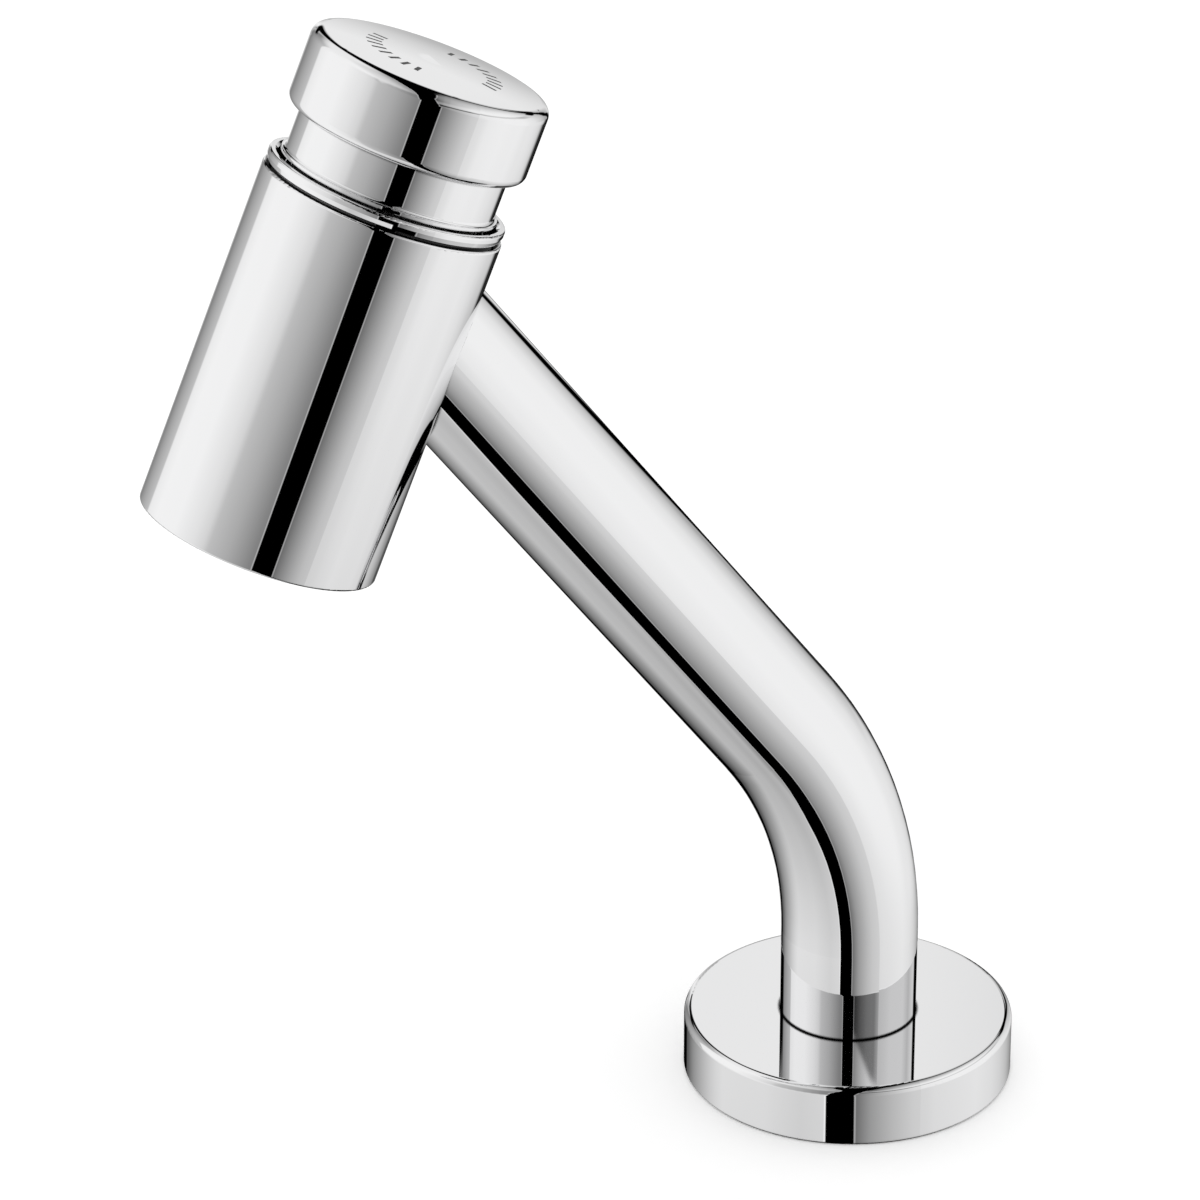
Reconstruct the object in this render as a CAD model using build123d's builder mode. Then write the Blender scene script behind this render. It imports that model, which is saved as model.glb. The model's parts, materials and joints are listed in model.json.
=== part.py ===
from build123d import *
from math import acos, cos, degrees, pi, radians, sin, tan
import os

# Push timed tap for a basin deck, in millimetres.
# The deck plane is Z = 0, the riser stands on the Z axis and the spout reaches towards -Y.
# The head leans back on its own axis. Heights called "s" below run along that axis,
# counted upwards from the point where the spout tube's axis meets it.

# Fits shared by all pieces
fixed_gap = 0.05
running_gap = 0.08
seal_gap = 0.03
stop_gap = 0.3
edge_break = 0.4
seal_round_share = 0.35
overrun = 2.0

# Spout tube
tube_diameter = 25.4
tube_wall = 1.5
bend_radius = 76.2
lean_angle = 37.5
riser_height = 29.0
arm_length = 130.5

# Deck flange
flange_diameter = 61.2
flange_height = 11.7
flange_edge_round = 1.4
tube_socket_depth = 7.0
gasket_inner_diameter = 42.0
gasket_width = 5.0
gasket_thickness = 2.0

# Threaded shank: a G 1/2 thread for the lock nut over a G 3/8 nipple for the supply hose,
# both taken at their major diameters
thread_diameter = 20.955
thread_below_deck = 48.0
nipple_diameter = 16.662
nipple_length = 12.0
shank_bore = 12.0
shank_above_socket = 4.6
shank_chamfer = 1.0
shank_groove_height = 1.9
shank_groove_rise = 1.4
shank_seal_section = 1.5

# Deck fixing, drawn for a deck of this thickness
deck_thickness = 20.0
washer_play = 0.35
rubber_washer_width = 11.0
rubber_washer_thickness = 3.0
steel_washer_width = 9.0
steel_washer_thickness = 1.5
nut_across_flats = 30.0
nut_height = 7.0
nut_corner_chamfer = 1.2

# Inlet filter
filter_rim_width = 1.4
filter_rim_height = 1.5
filter_wall = 0.6
filter_length = 12.0
filter_inset = 0.5
filter_hole_diameter = 1.3
filter_row_count = 4
filter_column_count = 10

# Head body
head_tilt = 22.5
head_diameter = 42.9
head_above_axis = 11.6
head_below_axis = 51.6
head_top_round = 0.5
well_depth = 7.1
cartridge_bore = 30.4
port_diameter = 12.0
passage_diameter = 19.0

# Trim ring on the head's mouth
ring_diameter = 42.4
ring_height = 2.55
ring_wall = 1.55
ring_top_round = 0.45
ring_inner_break = 0.5
ring_groove_height = 0.65
ring_groove_depth = 0.75
ring_foot_inset = 0.3
ring_foot_height = 0.8
ring_spigot_length = 3.6
ring_spigot_wall = 0.7

# Push button
cap_diameter = 42.5
cap_height = 13.65
cap_crown = 0.9
cap_lower_round = 1.6
cap_upper_round = 2.0
cap_top_thickness = 4.0
neck_diameter = 37.2
neck_wall = 1.8
neck_above_ring = 8.6
bead_above_ring = 0.25
bead_height = 1.3
bead_proud = 0.7
boss_diameter = 14.0
boss_length = 15.0
travel = 6.0

# Engraved marks on the button, two arcs of plain ticks
mark_circle_diameter = 21.6
mark_length = 2.8
mark_width = 0.8
mark_depth = 0.2
mark_count = 9
mark_arc = 100.0

# Stem
stem_diameter = 8.0
stem_lower_diameter = 6.0
stem_in_boss = 10.0

# Gland, which screws into the head and closes the cartridge
gland_thread_length = 7.0
gland_flange_width = 1.1
gland_flange_height = 2.0
gland_hex_across_flats = 24.0
gland_hex_height = 3.5
gland_spigot_length = 3.0
gland_body_groove_height = 2.0
gland_body_groove_depth = 1.6
stem_groove_height = 1.9
stem_groove_depth = 1.4
spigot_groove_height = 1.6
spigot_groove_depth = 1.4
bleed_circle_diameter = 14.4
bleed_screw_diameter = 2.0
bleed_channel_diameter = 0.9
bleed_screw_length = 9.0
bleed_slot_width = 0.5
bleed_slot_depth = 0.8

# Cartridge sleeve
sleeve_diameter = 26.4
sleeve_bore = 22.0
sleeve_length = 30.5
sleeve_foot_height = 2.0
land_diameter = 12.0
land_length = 6.0
sleeve_port_diameter = 3.6
sleeve_port_rise = 4.0
sleeve_port_count = 6
sleeve_gasket_thickness = 1.5

# Piston stack on the stem
piston_thickness = 3.5
cup_thickness = 3.0
cup_lip = 1.0
cup_channel_depth = 2.0
backing_diameter = 17.4
backing_thickness = 1.0
circlip_thickness = 0.7
circlip_depth = 0.5
circlip_width = 2.2
circlip_slot = 2.4

# Return spring
spring_coil_diameter = 15.2
spring_wire = 1.3
spring_turns = 4

# Valve spool on the stem's foot
spool_length = 4.0
spool_groove_height = 1.9
spool_groove_depth = 1.3
valve_screw_diameter = 3.0
valve_screw_length = 12.0
valve_screw_head_diameter = 5.5
valve_screw_head_height = 1.8
valve_screw_slot_width = 0.8
valve_screw_slot_depth = 0.9

# Aerator in the outlet
aerator_diameter = 24.0
aerator_depth = 9.6
aerator_recess = 0.8
aerator_wall = 1.7
aerator_lip_width = 0.8
aerator_lip_height = 1.0
aerator_gasket_thickness = 1.2
aerator_gasket_width = 2.2
regulator_thickness = 1.8
regulator_hole_diameter = 2.0
regulator_hole_circle = 10.0
regulator_hole_count = 6
insert_thickness = 4.4
insert_hole_diameter = 1.7
insert_hole_pitch = 2.5
insert_hole_rings = 3
insert_holes_in_first_ring = 6

# Places worked out from the sizes above
tube_radius = tube_diameter / 2
tube_bore_radius = tube_radius - tube_wall
head_radius = head_diameter / 2
meeting_angle = lean_angle + head_tilt

bend_reach = bend_radius * (1 - cos(radians(lean_angle)))
bend_rise = bend_radius * sin(radians(lean_angle))
meeting_reach = bend_reach + arm_length * sin(radians(lean_angle))
meeting_height = riser_height + bend_rise + arm_length * cos(radians(lean_angle))
meeting_point = (0, -meeting_reach, meeting_height)

head_up = (0, sin(radians(head_tilt)), cos(radians(head_tilt)))
arm_down = (0, sin(radians(lean_angle)), -cos(radians(lean_angle)))
head_axis = Axis(meeting_point, head_up)
head_profile = Plane(meeting_point, x_dir=(1, 0, 0), z_dir=(0, -head_up[2], head_up[1]))
head_plane = Plane(meeting_point, x_dir=(1, 0, 0), z_dir=head_up)
arm_plane = Plane(meeting_point, x_dir=(1, 0, 0), z_dir=arm_down)

socket_floor = flange_height - tube_socket_depth
thread_radius = thread_diameter / 2
thread_foot = -thread_below_deck
nipple_foot = thread_foot - nipple_length
shank_bore_radius = shank_bore / 2
shank_top = socket_floor + shank_above_socket

head_top = head_above_axis
head_bottom = -head_below_axis
well_floor = head_top - well_depth
gland_underside = well_floor - gland_thread_length
spigot_end = gland_underside - gland_spigot_length
sleeve_bottom = gland_underside - sleeve_length
land_top = sleeve_bottom + land_length
cartridge_seat = sleeve_bottom - sleeve_gasket_thickness
aerator_seat = head_bottom + aerator_depth

ring_radius = ring_diameter / 2
ring_top = head_top + ring_height
ring_bore_radius = ring_radius - ring_wall
spigot_radius = ring_bore_radius + ring_spigot_wall
spigot_foot = head_top - ring_spigot_length

neck_radius = neck_diameter / 2
neck_bore_radius = neck_radius - neck_wall
neck_foot = ring_top + bead_above_ring
cap_foot = ring_top + neck_above_ring
cap_rim = cap_foot + cap_height
cap_radius = cap_diameter / 2
cap_ceiling = cap_rim - cap_top_thickness
boss_foot = cap_ceiling - boss_length
crown_radius = (cap_radius**2 + cap_crown**2) / (2 * cap_crown)

stem_radius = stem_diameter / 2
stem_lower_radius = stem_lower_diameter / 2
stem_top = boss_foot + stem_in_boss
cartridge_radius = cartridge_bore / 2
gland_radius = cartridge_radius - fixed_gap
sleeve_bore_radius = sleeve_bore / 2
land_radius = land_diameter / 2

piston_top = spigot_end - stop_gap
cup_top = piston_top - piston_thickness
backing_top = cup_top - cup_thickness
circlip_top = backing_top - backing_thickness
circlip_foot = circlip_top - circlip_thickness
spool_foot = sleeve_bottom
spool_top = spool_foot + spool_length
backing_radius = backing_diameter / 2


def ring_profile(inner, outer, low, high):
    """Adds the cross-section of a plain ring to the sketch, right of the axis."""
    with Locations(((inner + outer) / 2, (low + high) / 2)):
        Rectangle(outer - inner, high - low)


def ring_cut(inner, outer, low, high):
    """Takes the cross-section of a plain ring out of the sketch."""
    with Locations(((inner + outer) / 2, (low + high) / 2)):
        Rectangle(outer - inner, high - low, mode=Mode.SUBTRACT)


def soft_ring_profile(inner, outer, low, high):
    """Adds the rounded cross-section of a seal that lies just clear of its groove and its wall."""
    width = outer - inner - 2 * seal_gap
    height = high - low - 2 * seal_gap
    with Locations(((inner + outer) / 2, (low + high) / 2)):
        RectangleRounded(width, height, min(width, height) * seal_round_share)


def finish(piece, name):
    """Labels a finished piece and writes its file."""
    piece.part.label = name
    export_step(piece.part, f"parts/{name}.step")


os.makedirs("parts", exist_ok=True)

# Deck flange, with a socket for the tube and a threaded hole for the shank
gasket_inner_radius = gasket_inner_diameter / 2
gasket_outer_radius = gasket_inner_radius + gasket_width
flange_radius = flange_diameter / 2
with BuildPart() as flange:
    with BuildSketch(Plane.XZ):
        ring_profile(thread_radius + fixed_gap, flange_radius, 0, flange_height)
        ring_cut(0, tube_radius + fixed_gap, socket_floor, flange_height)
        ring_cut(gasket_inner_radius, gasket_outer_radius, 0, gasket_thickness)
    revolve(axis=Axis.Z)
    rim_edges = flange.edges().filter_by(GeomType.CIRCLE).group_by(SortBy.RADIUS)[-1]
    fillet(rim_edges.sort_by(Axis.Z)[-1], radius=flange_edge_round)
    rim_edges = flange.edges().filter_by(GeomType.CIRCLE).group_by(SortBy.RADIUS)[-1]
    chamfer(rim_edges.sort_by(Axis.Z)[0], length=edge_break)
finish(flange, "flange")

# Soft gasket in the flange's underside, flush with the deck plane
with BuildPart() as base_gasket:
    with BuildSketch(Plane.XZ):
        ring_profile(gasket_inner_radius + fixed_gap, gasket_outer_radius - fixed_gap, 0, gasket_thickness)
    revolve(axis=Axis.Z)
finish(base_gasket, "base_gasket")

# Spout tube: riser, bend and arm, coped to the head's round side
with BuildPart() as spout_tube:
    with BuildLine(Plane.YZ):
        riser = Line((0, socket_floor), (0, riser_height))
        bend = JernArc(riser @ 1, riser % 1, radius=bend_radius, arc_size=lean_angle)
        Line(bend @ 1, (bend @ 1) + (bend % 1) * arm_length)
    with BuildSketch(Plane.XY.offset(socket_floor)):
        Circle(tube_radius)
        Circle(tube_bore_radius, mode=Mode.SUBTRACT)
    sweep()
    with BuildSketch(head_plane.offset(head_bottom)):
        Circle(head_radius)
    extrude(amount=head_below_axis + head_above_axis, mode=Mode.SUBTRACT)
finish(spout_tube, "spout_tube")

# Threaded shank, screwed up through the flange into the tube's foot
groove_foot = shank_top - shank_groove_rise - shank_groove_height
groove_top = shank_top - shank_groove_rise
groove_radius = tube_bore_radius - shank_seal_section
with BuildPart() as threaded_shank:
    with BuildSketch(Plane.XZ):
        ring_profile(shank_bore_radius, thread_radius, thread_foot, shank_top)
        ring_profile(shank_bore_radius, nipple_diameter / 2, nipple_foot, thread_foot)
        ring_cut(groove_radius, thread_radius + overrun, groove_foot, groove_top)
    revolve(axis=Axis.Z)
    levels = threaded_shank.edges().filter_by(GeomType.CIRCLE).group_by(Axis.Z)
    thread_ends = [level.sort_by(SortBy.RADIUS)[-1] for level in levels[:2]]
    chamfer(thread_ends, length=shank_chamfer)
finish(threaded_shank, "threaded_shank")

# O-ring between the shank and the tube's bore
with BuildPart() as shank_o_ring:
    with BuildSketch(Plane.XZ):
        soft_ring_profile(groove_radius, tube_bore_radius, groove_foot, groove_top)
    revolve(axis=Axis.Z)
finish(shank_o_ring, "shank_o_ring")

# Rubber washer, steel washer and lock nut, stacked up against the underside of the deck
rubber_top = -deck_thickness
steel_top = rubber_top - rubber_washer_thickness
nut_top = steel_top - steel_washer_thickness
nut_foot = nut_top - nut_height
washer_hole_radius = thread_radius + washer_play
with BuildPart() as rubber_washer:
    with BuildSketch(Plane.XZ):
        ring_profile(washer_hole_radius, washer_hole_radius + rubber_washer_width, steel_top, rubber_top)
    revolve(axis=Axis.Z)
finish(rubber_washer, "rubber_washer")

with BuildPart() as steel_washer:
    with BuildSketch(Plane.XZ):
        ring_profile(washer_hole_radius, washer_hole_radius + steel_washer_width, nut_top, steel_top)
    revolve(axis=Axis.Z)
finish(steel_washer, "steel_washer")

nut_flat_radius = nut_across_flats / 2
nut_corner_radius = nut_flat_radius / cos(pi / 6)
nut_chamfer_reach = nut_corner_radius - nut_corner_chamfer
nut_chamfer_height = nut_corner_chamfer * tan(pi / 6)
with BuildPart() as lock_nut:
    with BuildSketch(Plane.XY.offset(nut_foot)):
        RegularPolygon(nut_flat_radius, side_count=6, major_radius=False)
        Circle(thread_radius + running_gap, mode=Mode.SUBTRACT)
    extrude(amount=nut_height)
    with BuildSketch(Plane.XZ):
        with BuildLine():
            Polyline(
                (0, nut_foot),
                (nut_chamfer_reach, nut_foot),
                (nut_corner_radius, nut_foot + nut_chamfer_height),
                (nut_corner_radius, nut_top - nut_chamfer_height),
                (nut_chamfer_reach, nut_top),
                (0, nut_top),
                close=True,
            )
        make_face()
    revolve(axis=Axis.Z, mode=Mode.INTERSECT)
finish(lock_nut, "lock_nut")

# Thimble filter, pushed into the nipple from below
filter_radius = shank_bore_radius - fixed_gap
filter_bore_radius = filter_radius - filter_rim_width
filter_foot = nipple_foot + filter_inset
filter_rim_top = filter_foot + filter_rim_height
filter_top = filter_foot + filter_length
filter_row_pitch = (filter_top - filter_wall - filter_rim_top) / (filter_row_count + 1)
with BuildPart() as inlet_filter:
    with BuildSketch(Plane.XZ):
        ring_profile(filter_bore_radius, filter_radius, filter_foot, filter_rim_top)
        ring_profile(filter_bore_radius, filter_bore_radius + filter_wall, filter_foot, filter_top)
        ring_profile(0, filter_bore_radius + filter_wall, filter_top - filter_wall, filter_top)
    revolve(axis=Axis.Z)
    for row in range(filter_row_count):
        with Locations((0, 0, filter_rim_top + (row + 1) * filter_row_pitch)):
            with PolarLocations(0, filter_column_count):
                Cylinder(
                    filter_hole_diameter / 2,
                    filter_radius,
                    rotation=(0, 90, 0),
                    align=(Align.CENTER, Align.CENTER, Align.MIN),
                    mode=Mode.SUBTRACT,
                )
finish(inlet_filter, "inlet_filter")

# Head body: a turned cylinder with the button's well, the cartridge bore and the outlet
aerator_bore_radius = aerator_diameter / 2
port_radius = port_diameter / 2
port_reach = (head_radius + port_radius) / sin(radians(meeting_angle)) + overrun
with BuildPart() as head_body:
    with BuildSketch(head_profile):
        ring_profile(0, head_radius, head_bottom, head_top)
        ring_cut(0, spigot_radius + fixed_gap, spigot_foot, head_top)
        ring_cut(0, ring_bore_radius, well_floor, head_top)
        ring_cut(0, cartridge_radius, cartridge_seat, head_top)
        ring_cut(0, passage_diameter / 2, head_bottom, head_top)
        ring_cut(0, aerator_bore_radius, head_bottom, aerator_seat)
    revolve(axis=head_axis)
    outer_edges = head_body.edges().filter_by(GeomType.CIRCLE).group_by(SortBy.RADIUS)[-1]
    fillet(outer_edges.sort_by(head_axis)[-1], radius=head_top_round)
    outer_edges = head_body.edges().filter_by(GeomType.CIRCLE).group_by(SortBy.RADIUS)[-1]
    fillet(outer_edges.sort_by(head_axis)[0], radius=edge_break)
    with BuildSketch(arm_plane):
        Circle(port_radius)
    extrude(amount=port_reach, mode=Mode.SUBTRACT)
finish(head_body, "head_body")

# Trim ring, pressed into the head's mouth, with an undercut foot that leaves a dark groove
ring_foot = head_top + ring_groove_height
ring_waist = ring_foot + ring_foot_height
ring_seat_radius = ring_radius - ring_groove_depth
with BuildPart() as trim_ring:
    with BuildSketch(head_profile):
        with BuildLine():
            top_round = JernArc((ring_radius, ring_top - ring_top_round), (0, 1), ring_top_round, 90)
            Polyline(
                top_round @ 1,
                (ring_bore_radius + ring_inner_break, ring_top),
                (ring_bore_radius, ring_top - ring_inner_break),
                (ring_bore_radius, spigot_foot),
                (spigot_radius, spigot_foot),
                (spigot_radius, head_top),
                (ring_seat_radius, head_top),
                (ring_seat_radius, ring_foot),
                (ring_radius - ring_foot_inset, ring_foot),
                (ring_radius, ring_waist),
                top_round @ 0,
            )
        make_face()
    revolve(axis=head_axis)
finish(trim_ring, "trim_ring")

# Engraved marks, filled flush with the button's crown
crown_start = degrees(acos((cap_radius - cap_upper_round) / (crown_radius - cap_upper_round)))
crown_angle = 90 - crown_start
crown_centre = cap_rim + cap_crown - crown_radius
mark_row_starts = (-90 - mark_arc / 2, 90 - mark_arc / 2)
with BuildPart() as button_marks:
    with BuildSketch(head_profile):
        with BuildLine():
            skin = CenterArc((0, crown_centre), crown_radius, crown_start, crown_angle)
            lining = CenterArc((0, crown_centre), crown_radius - mark_depth, crown_start, crown_angle)
            Line(skin @ 0, lining @ 0)
            Line(skin @ 1, lining @ 1)
        make_face()
    revolve(axis=head_axis)
    with BuildSketch(head_plane.offset(cap_rim - mark_depth)):
        for row_start in mark_row_starts:
            with PolarLocations(mark_circle_diameter / 2, mark_count, row_start, mark_arc, endpoint=True):
                Rectangle(mark_length, mark_width)
    extrude(amount=cap_crown + mark_depth + overrun, mode=Mode.INTERSECT)
finish(button_marks, "button_marks")

# Push button: cap, neck and inner boss in one piece
bead_radius = neck_radius + bead_proud
boss_radius = boss_diameter / 2
crown_edge_direction = (sin(radians(crown_start)), -cos(radians(crown_start)))
with BuildPart() as button:
    with BuildSketch(head_profile):
        with BuildLine():
            dome = CenterArc((0, crown_centre), crown_radius, crown_start, crown_angle)
            upper = JernArc(dome @ 0, crown_edge_direction, cap_upper_round, -crown_start)
            lower = JernArc((cap_radius, cap_foot + cap_lower_round), (0, -1), cap_lower_round, -90)
            Line(upper @ 1, lower @ 0)
            flare = JernArc((neck_radius, neck_foot + bead_height), (0, -1), bead_proud, 90)
            Polyline(lower @ 1, (neck_radius, cap_foot), flare @ 0)
            Polyline(
                flare @ 1,
                (bead_radius, neck_foot),
                (neck_bore_radius, neck_foot),
                (neck_bore_radius, cap_ceiling),
                (boss_radius, cap_ceiling),
                (boss_radius, boss_foot),
                (stem_radius + fixed_gap, boss_foot),
                (stem_radius + fixed_gap, stem_top),
                (0, stem_top),
                dome @ 1,
            )
        make_face()
    revolve(axis=head_axis)
    add(button_marks.part, mode=Mode.SUBTRACT)
finish(button, "button")

# Stem, screwed into the button's boss and stepped down below the gland
circlip_groove_foot = circlip_foot - seal_gap
circlip_bore_radius = stem_lower_radius - circlip_depth
valve_screw_radius = valve_screw_diameter / 2
with BuildPart() as stem:
    with BuildSketch(head_profile):
        ring_profile(0, stem_radius, piston_top, stem_top)
        ring_profile(0, stem_lower_radius, spool_top, piston_top)
        ring_cut(circlip_bore_radius, stem_radius, circlip_groove_foot, circlip_top)
        ring_cut(0, valve_screw_radius + fixed_gap, spool_top, spool_foot + valve_screw_length)
    revolve(axis=head_axis)
    chamfer(stem.edges().filter_by(GeomType.CIRCLE).sort_by(head_axis)[-1], length=edge_break)
finish(stem, "stem")

# Gland: closes the cartridge, carries the stem and screws into the floor of the well
gland_top = well_floor + gland_flange_height + gland_hex_height
gland_flange_radius = gland_radius + gland_flange_width
stem_bore_radius = stem_radius + running_gap
stem_groove_mid = (well_floor + gland_underside) / 2
stem_groove_foot = stem_groove_mid - stem_groove_height / 2
stem_groove_top = stem_groove_mid + stem_groove_height / 2
stem_groove_radius = stem_bore_radius + stem_groove_depth
gland_spigot_radius = sleeve_bore_radius - fixed_gap
spigot_groove_radius = gland_spigot_radius - spigot_groove_depth
spigot_groove_foot = spigot_end + (gland_spigot_length - spigot_groove_height) / 2
spigot_groove_top = spigot_groove_foot + spigot_groove_height
body_groove_radius = gland_radius - gland_body_groove_depth
body_groove_foot = well_floor - gland_body_groove_height
bleed_circle_radius = bleed_circle_diameter / 2
bleed_screw_foot = gland_top - bleed_screw_length
with BuildPart() as gland:
    with BuildSketch(head_profile):
        ring_profile(stem_bore_radius, gland_radius, gland_underside, well_floor)
        ring_profile(stem_bore_radius, gland_flange_radius, well_floor, gland_top - gland_hex_height)
        ring_profile(stem_bore_radius, gland_spigot_radius, spigot_end, gland_underside)
        ring_cut(body_groove_radius, gland_radius, body_groove_foot, well_floor)
        ring_cut(spigot_groove_radius, gland_spigot_radius, spigot_groove_foot, spigot_groove_top)
    revolve(axis=head_axis)
    with BuildSketch(head_plane.offset(gland_top - gland_hex_height)):
        RegularPolygon(gland_hex_across_flats / 2, side_count=6, major_radius=False)
        Circle(stem_bore_radius, mode=Mode.SUBTRACT)
    extrude(amount=gland_hex_height)
    with BuildSketch(head_profile):
        ring_profile(0, stem_groove_radius, stem_groove_foot, stem_groove_top)
    revolve(axis=head_axis, mode=Mode.SUBTRACT)
    with BuildSketch(head_plane.offset(bleed_screw_foot)):
        with Locations((bleed_circle_radius, 0)):
            Circle(bleed_screw_diameter / 2 + fixed_gap)
    extrude(amount=bleed_screw_length, mode=Mode.SUBTRACT)
    with BuildSketch(head_plane.offset(spigot_end)):
        with Locations((bleed_circle_radius, 0)):
            Circle(bleed_channel_diameter / 2)
    extrude(amount=bleed_screw_foot - spigot_end, mode=Mode.SUBTRACT)
finish(gland, "gland")

# Seals of the gland: on the stem, in the head's thread and in the sleeve's mouth
with BuildPart() as stem_o_ring:
    with BuildSketch(head_profile):
        soft_ring_profile(stem_radius, stem_groove_radius, stem_groove_foot, stem_groove_top)
    revolve(axis=head_axis)
finish(stem_o_ring, "stem_o_ring")

with BuildPart() as gland_body_o_ring:
    with BuildSketch(head_profile):
        soft_ring_profile(body_groove_radius, cartridge_radius, body_groove_foot, well_floor)
    revolve(axis=head_axis)
finish(gland_body_o_ring, "gland_body_o_ring")

with BuildPart() as gland_sleeve_o_ring:
    with BuildSketch(head_profile):
        soft_ring_profile(spigot_groove_radius, sleeve_bore_radius, spigot_groove_foot, spigot_groove_top)
    revolve(axis=head_axis)
finish(gland_sleeve_o_ring, "gland_sleeve_o_ring")

# Timing screw, which throttles the bleed channel through the gland
with BuildPart() as timing_screw:
    with BuildSketch(head_plane.offset(bleed_screw_foot)):
        with Locations((bleed_circle_radius, 0)):
            Circle(bleed_screw_diameter / 2)
    extrude(amount=bleed_screw_length)
    with BuildSketch(head_plane.offset(gland_top - bleed_slot_depth)):
        with Locations((bleed_circle_radius, 0)):
            Rectangle(bleed_slot_width, bleed_screw_diameter + overrun)
    extrude(amount=bleed_slot_depth, mode=Mode.SUBTRACT)
finish(timing_screw, "timing_screw")

# Cartridge sleeve: cylinder for the piston above, narrow land for the valve spool below
sleeve_radius = sleeve_diameter / 2
port_level = land_top + sleeve_port_rise
with BuildPart() as cartridge_sleeve:
    with BuildSketch(head_profile):
        ring_profile(land_radius, sleeve_radius, sleeve_bottom, gland_underside)
        ring_profile(land_radius, gland_radius, sleeve_bottom, sleeve_bottom + sleeve_foot_height)
        ring_cut(0, sleeve_bore_radius, land_top, gland_underside)
    revolve(axis=head_axis)
    with Locations(head_plane.offset(port_level)):
        with PolarLocations(0, sleeve_port_count):
            Cylinder(
                sleeve_port_diameter / 2,
                sleeve_radius + overrun,
                rotation=(0, 90, 0),
                align=(Align.CENTER, Align.CENTER, Align.MIN),
                mode=Mode.SUBTRACT,
            )
finish(cartridge_sleeve, "cartridge_sleeve")

with BuildPart() as sleeve_gasket:
    with BuildSketch(head_profile):
        ring_profile(passage_diameter / 2 + fixed_gap, gland_radius, cartridge_seat, sleeve_bottom)
    revolve(axis=head_axis)
finish(sleeve_gasket, "sleeve_gasket")

# Piston with its cup seal, backing washer and circlip on the stem
piston_radius = sleeve_bore_radius - running_gap
stack_bore_radius = stem_lower_radius + fixed_gap
cup_channel_outer = piston_radius - cup_lip
cup_channel_inner = backing_radius - cup_lip
with BuildPart() as piston:
    with BuildSketch(head_profile):
        ring_profile(stack_bore_radius, piston_radius, cup_top, piston_top)
    revolve(axis=head_axis)
finish(piston, "piston")

with BuildPart() as piston_cup_seal:
    with BuildSketch(head_profile):
        ring_profile(stack_bore_radius, piston_radius, backing_top, cup_top)
        ring_cut(cup_channel_inner, cup_channel_outer, backing_top, backing_top + cup_channel_depth)
    revolve(axis=head_axis)
finish(piston_cup_seal, "piston_cup_seal")

with BuildPart() as backing_washer:
    with BuildSketch(head_profile):
        ring_profile(stack_bore_radius, backing_radius, circlip_top, backing_top)
    revolve(axis=head_axis)
finish(backing_washer, "backing_washer")

circlip_inner = circlip_bore_radius + seal_gap
with BuildPart() as circlip:
    with BuildSketch(head_plane.offset(circlip_foot)):
        Circle(circlip_inner + circlip_width)
        Circle(circlip_inner, mode=Mode.SUBTRACT)
        with Locations((circlip_inner, 0)):
            Rectangle(2 * circlip_width, circlip_slot, mode=Mode.SUBTRACT)
    extrude(amount=circlip_thickness)
finish(circlip, "circlip")

# Return spring, between the backing washer and the top of the sleeve's land
spring_wire_radius = spring_wire / 2
spring_rise = circlip_top - land_top - spring_wire
with BuildPart() as return_spring:
    with BuildLine():
        coil = Helix(
            spring_rise / spring_turns,
            spring_rise,
            spring_coil_diameter / 2,
            center=head_plane.offset(land_top + spring_wire_radius).origin,
            direction=head_up,
        )
    with BuildSketch(Plane(coil @ 0, z_dir=coil % 0)):
        Circle(spring_wire_radius)
    sweep(is_frenet=True)
finish(return_spring, "return_spring")

# Valve spool, its O-ring and the screw that holds it to the stem's foot
spool_radius = land_radius - running_gap
spool_groove_radius = spool_radius - spool_groove_depth
spool_groove_foot = (spool_foot + spool_top - spool_groove_height) / 2
spool_groove_top = spool_groove_foot + spool_groove_height
with BuildPart() as valve_spool:
    with BuildSketch(head_profile):
        ring_profile(valve_screw_radius + fixed_gap, spool_radius, spool_foot, spool_top)
        ring_cut(spool_groove_radius, land_radius, spool_groove_foot, spool_groove_top)
    revolve(axis=head_axis)
finish(valve_spool, "valve_spool")

with BuildPart() as valve_seal:
    with BuildSketch(head_profile):
        soft_ring_profile(spool_groove_radius, land_radius, spool_groove_foot, spool_groove_top)
    revolve(axis=head_axis)
finish(valve_seal, "valve_seal")

valve_screw_foot = spool_foot - valve_screw_head_height
with BuildPart() as valve_screw:
    with BuildSketch(head_profile):
        ring_profile(0, valve_screw_radius, spool_foot, spool_foot + valve_screw_length)
        ring_profile(0, valve_screw_head_diameter / 2, valve_screw_foot, spool_foot)
    revolve(axis=head_axis)
    with BuildSketch(head_plane.offset(valve_screw_foot)):
        Rectangle(valve_screw_head_diameter + overrun, valve_screw_slot_width)
    extrude(amount=valve_screw_slot_depth, mode=Mode.SUBTRACT)
finish(valve_screw, "valve_screw")

# Aerator: gasket, housing, flow regulator and honeycomb insert, screwed into the outlet
housing_radius = aerator_bore_radius - fixed_gap
housing_bore_radius = housing_radius - aerator_wall
housing_top = aerator_seat - aerator_gasket_thickness
housing_foot = head_bottom + aerator_recess
lip_top = housing_foot + aerator_lip_height
insert_radius = housing_bore_radius - fixed_gap
insert_top = lip_top + insert_thickness
with BuildPart() as aerator_gasket:
    with BuildSketch(head_profile):
        ring_profile(housing_radius - aerator_gasket_width, housing_radius, housing_top, aerator_seat)
    revolve(axis=head_axis)
finish(aerator_gasket, "aerator_gasket")

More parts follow.
